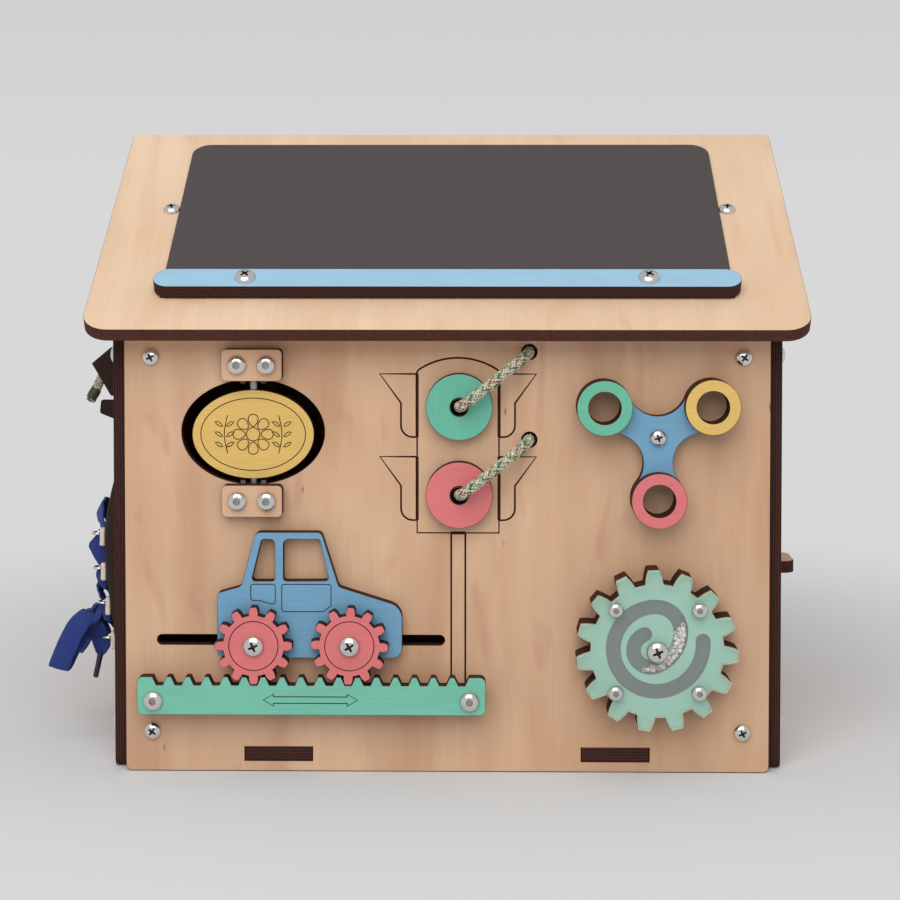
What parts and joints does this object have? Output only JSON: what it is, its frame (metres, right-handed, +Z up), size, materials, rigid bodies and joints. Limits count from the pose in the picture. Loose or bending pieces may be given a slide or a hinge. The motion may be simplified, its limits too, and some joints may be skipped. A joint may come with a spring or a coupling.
{
  "type": "busy board",
  "caption": "Toy house busy board with turning spinner, bead maze gear, flip sign, rack tractor, slider, ropes, lacing patch and chalkboard roof.",
  "frame": {"origin": "on the ground under the middle of the house", "axes": "+X to the right seen from the front, +Y to the back, +Z up"},
  "size_m": [0.3591, 0.29, 0.2888],
  "materials": {
    "wall_plywood": "sanded, unpainted, with burnt cut edges",
    "roof_plywood": "sanded, unpainted, with burnt cut edges",
    "block_wood": "planed, unpainted",
    "mint_plywood": "stained, satin",
    "pale_mint_plywood": "stained, satin",
    "pink_plywood": "stained, satin",
    "blue_plywood": "stained, satin",
    "pale_blue_plywood": "stained, satin",
    "green_plywood": "stained, satin",
    "yellow_plywood": "stained, satin",
    "dark_plywood": "unpainted, burnt dark",
    "grey_wood": "painted grey",
    "chalkboard": "matt",
    "clear_cover": "clear, gloss",
    "beads": "gloss",
    "screw_steel": "zinc-plated",
    "eyelet_metal": "black, gloss",
    "hook_ring_metal": "polished",
    "rope_cord": "braided, white with coloured flecks",
    "blue_lace": "woven satin",
    "aglet_plastic": "dark, gloss",
    "dark_leather": "grained",
    "cream_leather": "smooth"
  },
  "bodies": {
    "house": {"front_panel": "wall_plywood", "back_panel": "wall_plywood", "floor_panel": "wall_plywood", "left_side_panel": "wall_plywood", "right_side_panel": "wall_plywood", "front_roof_panel": "roof_plywood", "back_roof_panel": "roof_plywood", "corner_blocks": "block_wood", "roof_blocks": "block_wood", "end_panel_screws": "screw_steel", "side_panel_screws": "screw_steel", "roof_screws": "screw_steel", "ledge_screws": "screw_steel", "chalkboard_sheet": "chalkboard", "chalk_ledge": "pale_blue_plywood", "upper_disc": "mint_plywood", "lower_disc": "pink_plywood", "disc_eyelets": "eyelet_metal", "upper_rope": "rope_cord", "lower_rope": "rope_cord", "rope_knots": "rope_cord", "pin_bushes": "wall_plywood", "hinge_plates": "wall_plywood", "hex_bolts": "screw_steel", "nuts_and_washers": "screw_steel", "spinner_bolt": "screw_steel", "maze_bolt": "screw_steel", "gear_rack": "mint_plywood", "rack_spacers": "wall_plywood", "slider_rails": "wall_plywood", "lacing_patch": "dark_leather", "lace_hooks": "cream_leather", "lace_rings": "hook_ring_metal", "lace_lacing": "blue_lace", "lace_knot": "blue_lace", "lace_front_end": "blue_lace", "lace_back_end": "blue_lace", "lace_aglets": "aglet_plastic", "leather_tongues": "dark_leather", "tie_rope": "rope_cord"},
    "sign": {"flip_sign": "yellow_plywood", "sign_pins": "grey_wood"},
    "spinner": {"spinner_body": "blue_plywood", "yellow_ring": "yellow_plywood", "green_ring": "green_plywood", "pink_ring": "pink_plywood"},
    "maze": {"maze_back_gear": "dark_plywood", "maze_spiral": "pale_mint_plywood", "maze_cover": "clear_cover", "maze_screws": "screw_steel", "maze_beads": "beads"},
    "tractor": {"tractor_body": "blue_plywood", "wheel_bolts": "screw_steel", "wheel_nuts": "screw_steel"},
    "rear_wheel_body": {"rear_wheel": "pink_plywood"},
    "front_wheel_body": {"front_wheel": "pink_plywood"},
    "slider": {"slider_tab": "wall_plywood", "slider_keeper": "wall_plywood"}
  },
  "joints": [
    {"name": "sign_flip", "type": "hinge", "parent": "house", "child": "sign", "pos_m": [-0.0864, -0.122, 0.1515], "axis": [0, 0, 1], "continuous": true},
    {"name": "spinner_spin", "type": "hinge", "parent": "house", "child": "spinner", "pos_m": [0.0934, -0.13, 0.1512], "axis": [0, 1, 0], "continuous": true},
    {"name": "maze_turn", "type": "hinge", "parent": "house", "child": "maze", "pos_m": [0.0927, -0.13, 0.058], "axis": [0, 1, 0], "continuous": true},
    {"name": "tractor_drive", "type": "slide", "parent": "house", "child": "tractor", "axis": [1, 0, 0], "range_m": [-0.0385, 0.039]},
    {"name": "rear_wheel_roll", "type": "hinge", "parent": "tractor", "child": "rear_wheel_body", "pos_m": [-0.08518, -0.135, 0.0592], "axis": [0, 1, 0], "range_deg": [-142, 142]},
    {"name": "front_wheel_roll", "type": "hinge", "parent": "tractor", "child": "front_wheel_body", "pos_m": [-0.04278, -0.135, 0.0592], "axis": [0, 1, 0], "range_deg": [-142, 142]},
    {"name": "slider_slide", "type": "slide", "parent": "house", "child": "slider", "axis": [0, 1, 0], "range_m": [-0.045, 0.015]}
  ],
  "couplings": [
    {"joint": "rear_wheel_roll", "follows": "tractor_drive", "rad_per_m": 62.631},
    {"joint": "front_wheel_roll", "follows": "tractor_drive", "rad_per_m": 62.631}
  ]
}
